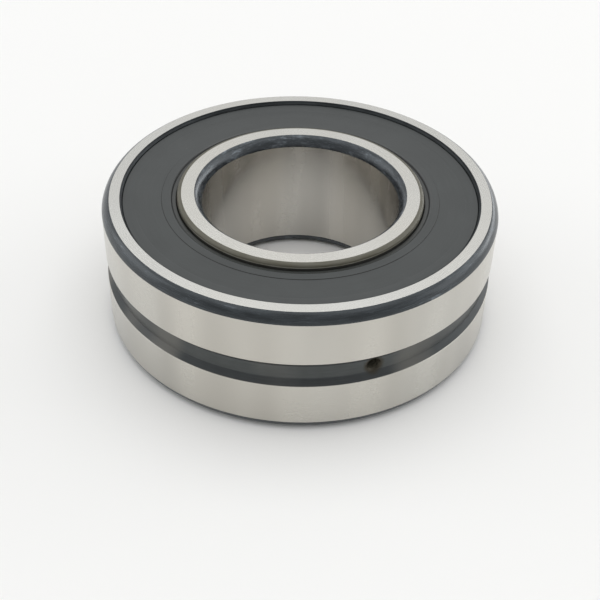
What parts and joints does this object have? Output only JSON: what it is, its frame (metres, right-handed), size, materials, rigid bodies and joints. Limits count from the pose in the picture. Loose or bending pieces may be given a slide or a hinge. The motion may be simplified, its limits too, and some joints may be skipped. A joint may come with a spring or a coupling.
{
  "type": "spherical roller bearing",
  "caption": "Sealed spherical roller bearing: barrel rollers between a grooved outer ring and a bored inner ring that can turn and tilt, with a rubber seal on each side.",
  "frame": {"origin": "centre of the bearing, on its axis and half way through its width", "axes": "+Z along the bearing's axis, up as it lies flat; +X along the diameter that the tilt joint turns about; the oil hole that shows is 67.3 degrees from +X towards -Y"},
  "size_m": [0.08, 0.08, 0.028],
  "materials": {
    "ring_steel": "ground bright faces and outside, dark unground corners and groove",
    "bore_steel": "ground bright faces and bore, dark unground bore corners",
    "roller_steel": "fine ground",
    "cage_steel": "pressed sheet, satin",
    "guide_steel": "turned, satin",
    "seal_rubber": "moulded, matt dark grey"
  },
  "bodies": {
    "outer_ring": {"outer_ring": "ring_steel", "seal_upper": "seal_rubber", "seal_lower": "seal_rubber"},
    "guide_ring": {"guide_ring": "guide_steel"},
    "inner_ring": {"inner_ring": "bore_steel"},
    "cage_upper": {"cage_upper": "cage_steel"},
    "cage_lower": {"cage_lower": "cage_steel"},
    "roller_upper_01": {"roller_upper_01": "roller_steel"},
    "roller_upper_02": {"roller_upper_02": "roller_steel"},
    "roller_upper_03": {"roller_upper_03": "roller_steel"},
    "roller_upper_04": {"roller_upper_04": "roller_steel"},
    "roller_upper_05": {"roller_upper_05": "roller_steel"},
    "roller_upper_06": {"roller_upper_06": "roller_steel"},
    "roller_upper_07": {"roller_upper_07": "roller_steel"},
    "roller_upper_08": {"roller_upper_08": "roller_steel"},
    "roller_upper_09": {"roller_upper_09": "roller_steel"},
    "roller_upper_10": {"roller_upper_10": "roller_steel"},
    "roller_upper_11": {"roller_upper_11": "roller_steel"},
    "roller_upper_12": {"roller_upper_12": "roller_steel"},
    "roller_upper_13": {"roller_upper_13": "roller_steel"},
    "roller_upper_14": {"roller_upper_14": "roller_steel"},
    "roller_upper_15": {"roller_upper_15": "roller_steel"},
    "roller_upper_16": {"roller_upper_16": "roller_steel"},
    "roller_upper_17": {"roller_upper_17": "roller_steel"},
    "roller_lower_01": {"roller_lower_01": "roller_steel"},
    "roller_lower_02": {"roller_lower_02": "roller_steel"},
    "roller_lower_03": {"roller_lower_03": "roller_steel"},
    "roller_lower_04": {"roller_lower_04": "roller_steel"},
    "roller_lower_05": {"roller_lower_05": "roller_steel"},
    "roller_lower_06": {"roller_lower_06": "roller_steel"},
    "roller_lower_07": {"roller_lower_07": "roller_steel"},
    "roller_lower_08": {"roller_lower_08": "roller_steel"},
    "roller_lower_09": {"roller_lower_09": "roller_steel"},
    "roller_lower_10": {"roller_lower_10": "roller_steel"},
    "roller_lower_11": {"roller_lower_11": "roller_steel"},
    "roller_lower_12": {"roller_lower_12": "roller_steel"},
    "roller_lower_13": {"roller_lower_13": "roller_steel"},
    "roller_lower_14": {"roller_lower_14": "roller_steel"},
    "roller_lower_15": {"roller_lower_15": "roller_steel"},
    "roller_lower_16": {"roller_lower_16": "roller_steel"},
    "roller_lower_17": {"roller_lower_17": "roller_steel"}
  },
  "joints": [
    {"name": "ring_tilt", "type": "hinge", "parent": "outer_ring", "child": "guide_ring", "pos_m": [0, 0, 0], "axis": [1, 0, 0], "range_deg": [-0.5, 0.5]},
    {"name": "inner_ring_spin", "type": "hinge", "parent": "guide_ring", "child": "inner_ring", "pos_m": [0, 0, 0], "axis": [0, 0, 1], "continuous": true},
    {"name": "cage_upper_spin", "type": "hinge", "parent": "guide_ring", "child": "cage_upper", "pos_m": [0, 0, 0], "axis": [0, 0, 1], "continuous": true},
    {"name": "cage_lower_spin", "type": "hinge", "parent": "guide_ring", "child": "cage_lower", "pos_m": [0, 0, 0], "axis": [0, 0, 1], "continuous": true},
    {"name": "roller_upper_01_spin", "type": "hinge", "parent": "cage_upper", "child": "roller_upper_01", "pos_m": [0.03097, 0, 0.00637], "axis": [-0.2015, 0, 0.9795], "continuous": true},
    {"name": "roller_upper_02_spin", "type": "hinge", "parent": "cage_upper", "child": "roller_upper_02", "pos_m": [0.02888, 0.01119, 0.00637], "axis": [-0.1879, -0.0728, 0.9795], "continuous": true},
    {"name": "roller_upper_03_spin", "type": "hinge", "parent": "cage_upper", "child": "roller_upper_03", "pos_m": [0.02289, 0.02087, 0.00637], "axis": [-0.1489, -0.1358, 0.9795], "continuous": true},
    {"name": "roller_upper_04_spin", "type": "hinge", "parent": "cage_upper", "child": "roller_upper_04", "pos_m": [0.01381, 0.02773, 0.00637], "axis": [-0.0898, -0.1804, 0.9795], "continuous": true},
    {"name": "roller_upper_05_spin", "type": "hinge", "parent": "cage_upper", "child": "roller_upper_05", "pos_m": [0.00286, 0.03084, 0.00637], "axis": [-0.0186, -0.2007, 0.9795], "continuous": true},
    {"name": "roller_upper_06_spin", "type": "hinge", "parent": "cage_upper", "child": "roller_upper_06", "pos_m": [-0.00848, 0.02979, 0.00637], "axis": [0.0552, -0.1938, 0.9795], "continuous": true},
    {"name": "roller_upper_07_spin", "type": "hinge", "parent": "cage_upper", "child": "roller_upper_07", "pos_m": [-0.01867, 0.02472, 0.00637], "axis": [0.1215, -0.1608, 0.9795], "continuous": true},
    {"name": "roller_upper_08_spin", "type": "hinge", "parent": "cage_upper", "child": "roller_upper_08", "pos_m": [-0.02634, 0.01631, 0.00637], "axis": [0.1714, -0.1061, 0.9795], "continuous": true},
    {"name": "roller_upper_09_spin", "type": "hinge", "parent": "cage_upper", "child": "roller_upper_09", "pos_m": [-0.03045, 0.00569, 0.00637], "axis": [0.1981, -0.037, 0.9795], "continuous": true},
    {"name": "roller_upper_10_spin", "type": "hinge", "parent": "cage_upper", "child": "roller_upper_10", "pos_m": [-0.03045, -0.00569, 0.00637], "axis": [0.1981, 0.037, 0.9795], "continuous": true},
    {"name": "roller_upper_11_spin", "type": "hinge", "parent": "cage_upper", "child": "roller_upper_11", "pos_m": [-0.02634, -0.01631, 0.00637], "axis": [0.1714, 0.1061, 0.9795], "continuous": true},
    {"name": "roller_upper_12_spin", "type": "hinge", "parent": "cage_upper", "child": "roller_upper_12", "pos_m": [-0.01867, -0.02472, 0.00637], "axis": [0.1215, 0.1608, 0.9795], "continuous": true},
    {"name": "roller_upper_13_spin", "type": "hinge", "parent": "cage_upper", "child": "roller_upper_13", "pos_m": [-0.00848, -0.02979, 0.00637], "axis": [0.0552, 0.1938, 0.9795], "continuous": true},
    {"name": "roller_upper_14_spin", "type": "hinge", "parent": "cage_upper", "child": "roller_upper_14", "pos_m": [0.00286, -0.03084, 0.00637], "axis": [-0.0186, 0.2007, 0.9795], "continuous": true},
    {"name": "roller_upper_15_spin", "type": "hinge", "parent": "cage_upper", "child": "roller_upper_15", "pos_m": [0.01381, -0.02773, 0.00637], "axis": [-0.0898, 0.1804, 0.9795], "continuous": true},
    {"name": "roller_upper_16_spin", "type": "hinge", "parent": "cage_upper", "child": "roller_upper_16", "pos_m": [0.02289, -0.02087, 0.00637], "axis": [-0.1489, 0.1358, 0.9795], "continuous": true},
    {"name": "roller_upper_17_spin", "type": "hinge", "parent": "cage_upper", "child": "roller_upper_17", "pos_m": [0.02888, -0.01119, 0.00637], "axis": [-0.1879, 0.0728, 0.9795], "continuous": true},
    {"name": "roller_lower_01_spin", "type": "hinge", "parent": "cage_lower", "child": "roller_lower_01", "pos_m": [0.03045, 0.00569, -0.00637], "axis": [0.1981, 0.037, 0.9795], "continuous": true},
    {"name": "roller_lower_02_spin", "type": "hinge", "parent": "cage_lower", "child": "roller_lower_02", "pos_m": [0.03045, -0.00569, -0.00637], "axis": [0.1981, -0.037, 0.9795], "continuous": true},
    {"name": "roller_lower_03_spin", "type": "hinge", "parent": "cage_lower", "child": "roller_lower_03", "pos_m": [0.02634, -0.01631, -0.00637], "axis": [0.1714, -0.1061, 0.9795], "continuous": true},
    {"name": "roller_lower_04_spin", "type": "hinge", "parent": "cage_lower", "child": "roller_lower_04", "pos_m": [0.01867, -0.02472, -0.00637], "axis": [0.1215, -0.1608, 0.9795], "continuous": true},
    {"name": "roller_lower_05_spin", "type": "hinge", "parent": "cage_lower", "child": "roller_lower_05", "pos_m": [0.00848, -0.02979, -0.00637], "axis": [0.0552, -0.1938, 0.9795], "continuous": true},
    {"name": "roller_lower_06_spin", "type": "hinge", "parent": "cage_lower", "child": "roller_lower_06", "pos_m": [-0.00286, -0.03084, -0.00637], "axis": [-0.0186, -0.2007, 0.9795], "continuous": true},
    {"name": "roller_lower_07_spin", "type": "hinge", "parent": "cage_lower", "child": "roller_lower_07", "pos_m": [-0.01381, -0.02773, -0.00637], "axis": [-0.0898, -0.1804, 0.9795], "continuous": true},
    {"name": "roller_lower_08_spin", "type": "hinge", "parent": "cage_lower", "child": "roller_lower_08", "pos_m": [-0.02289, -0.02087, -0.00637], "axis": [-0.1489, -0.1358, 0.9795], "continuous": true},
    {"name": "roller_lower_09_spin", "type": "hinge", "parent": "cage_lower", "child": "roller_lower_09", "pos_m": [-0.02888, -0.01119, -0.00637], "axis": [-0.1879, -0.0728, 0.9795], "continuous": true},
    {"name": "roller_lower_10_spin", "type": "hinge", "parent": "cage_lower", "child": "roller_lower_10", "pos_m": [-0.03097, 0, -0.00637], "axis": [-0.2015, 0, 0.9795], "continuous": true},
    {"name": "roller_lower_11_spin", "type": "hinge", "parent": "cage_lower", "child": "roller_lower_11", "pos_m": [-0.02888, 0.01119, -0.00637], "axis": [-0.1879, 0.0728, 0.9795], "continuous": true},
    {"name": "roller_lower_12_spin", "type": "hinge", "parent": "cage_lower", "child": "roller_lower_12", "pos_m": [-0.02289, 0.02087, -0.00637], "axis": [-0.1489, 0.1358, 0.9795], "continuous": true},
    {"name": "roller_lower_13_spin", "type": "hinge", "parent": "cage_lower", "child": "roller_lower_13", "pos_m": [-0.01381, 0.02773, -0.00637], "axis": [-0.0898, 0.1804, 0.9795], "continuous": true},
    {"name": "roller_lower_14_spin", "type": "hinge", "parent": "cage_lower", "child": "roller_lower_14", "pos_m": [-0.00286, 0.03084, -0.00637], "axis": [-0.0186, 0.2007, 0.9795], "continuous": true},
    {"name": "roller_lower_15_spin", "type": "hinge", "parent": "cage_lower", "child": "roller_lower_15", "pos_m": [0.00848, 0.02979, -0.00637], "axis": [0.0552, 0.1938, 0.9795], "continuous": true},
    {"name": "roller_lower_16_spin", "type": "hinge", "parent": "cage_lower", "child": "roller_lower_16", "pos_m": [0.01867, 0.02472, -0.00637], "axis": [0.1215, 0.1608, 0.9795], "continuous": true},
    {"name": "roller_lower_17_spin", "type": "hinge", "parent": "cage_lower", "child": "roller_lower_17", "pos_m": [0.02634, 0.01631, -0.00637], "axis": [0.1714, 0.1061, 0.9795], "continuous": true}
  ],
  "couplings": [
    {"joint": "cage_upper_spin", "follows": "inner_ring_spin", "ratio": 0.4229},
    {"joint": "cage_lower_spin", "follows": "inner_ring_spin", "ratio": 0.4229},
    {"joint": "roller_upper_01_spin", "follows": "inner_ring_spin", "ratio": -3.1007},
    {"joint": "roller_upper_02_spin", "follows": "inner_ring_spin", "ratio": -3.1007},
    {"joint": "roller_upper_03_spin", "follows": "inner_ring_spin", "ratio": -3.1007},
    {"joint": "roller_upper_04_spin", "follows": "inner_ring_spin", "ratio": -3.1007},
    {"joint": "roller_upper_05_spin", "follows": "inner_ring_spin", "ratio": -3.1007},
    {"joint": "roller_upper_06_spin", "follows": "inner_ring_spin", "ratio": -3.1007},
    {"joint": "roller_upper_07_spin", "follows": "inner_ring_spin", "ratio": -3.1007},
    {"joint": "roller_upper_08_spin", "follows": "inner_ring_spin", "ratio": -3.1007},
    {"joint": "roller_upper_09_spin", "follows": "inner_ring_spin", "ratio": -3.1007},
    {"joint": "roller_upper_10_spin", "follows": "inner_ring_spin", "ratio": -3.1007},
    {"joint": "roller_upper_11_spin", "follows": "inner_ring_spin", "ratio": -3.1007},
    {"joint": "roller_upper_12_spin", "follows": "inner_ring_spin", "ratio": -3.1007},
    {"joint": "roller_upper_13_spin", "follows": "inner_ring_spin", "ratio": -3.1007},
    {"joint": "roller_upper_14_spin", "follows": "inner_ring_spin", "ratio": -3.1007},
    {"joint": "roller_upper_15_spin", "follows": "inner_ring_spin", "ratio": -3.1007},
    {"joint": "roller_upper_16_spin", "follows": "inner_ring_spin", "ratio": -3.1007},
    {"joint": "roller_upper_17_spin", "follows": "inner_ring_spin", "ratio": -3.1007},
    {"joint": "roller_lower_01_spin", "follows": "inner_ring_spin", "ratio": -3.1007},
    {"joint": "roller_lower_02_spin", "follows": "inner_ring_spin", "ratio": -3.1007},
    {"joint": "roller_lower_03_spin", "follows": "inner_ring_spin", "ratio": -3.1007},
    {"joint": "roller_lower_04_spin", "follows": "inner_ring_spin", "ratio": -3.1007},
    {"joint": "roller_lower_05_spin", "follows": "inner_ring_spin", "ratio": -3.1007},
    {"joint": "roller_lower_06_spin", "follows": "inner_ring_spin", "ratio": -3.1007},
    {"joint": "roller_lower_07_spin", "follows": "inner_ring_spin", "ratio": -3.1007},
    {"joint": "roller_lower_08_spin", "follows": "inner_ring_spin", "ratio": -3.1007},
    {"joint": "roller_lower_09_spin", "follows": "inner_ring_spin", "ratio": -3.1007},
    {"joint": "roller_lower_10_spin", "follows": "inner_ring_spin", "ratio": -3.1007},
    {"joint": "roller_lower_11_spin", "follows": "inner_ring_spin", "ratio": -3.1007},
    {"joint": "roller_lower_12_spin", "follows": "inner_ring_spin", "ratio": -3.1007},
    {"joint": "roller_lower_13_spin", "follows": "inner_ring_spin", "ratio": -3.1007},
    {"joint": "roller_lower_14_spin", "follows": "inner_ring_spin", "ratio": -3.1007},
    {"joint": "roller_lower_15_spin", "follows": "inner_ring_spin", "ratio": -3.1007},
    {"joint": "roller_lower_16_spin", "follows": "inner_ring_spin", "ratio": -3.1007},
    {"joint": "roller_lower_17_spin", "follows": "inner_ring_spin", "ratio": -3.1007}
  ]
}
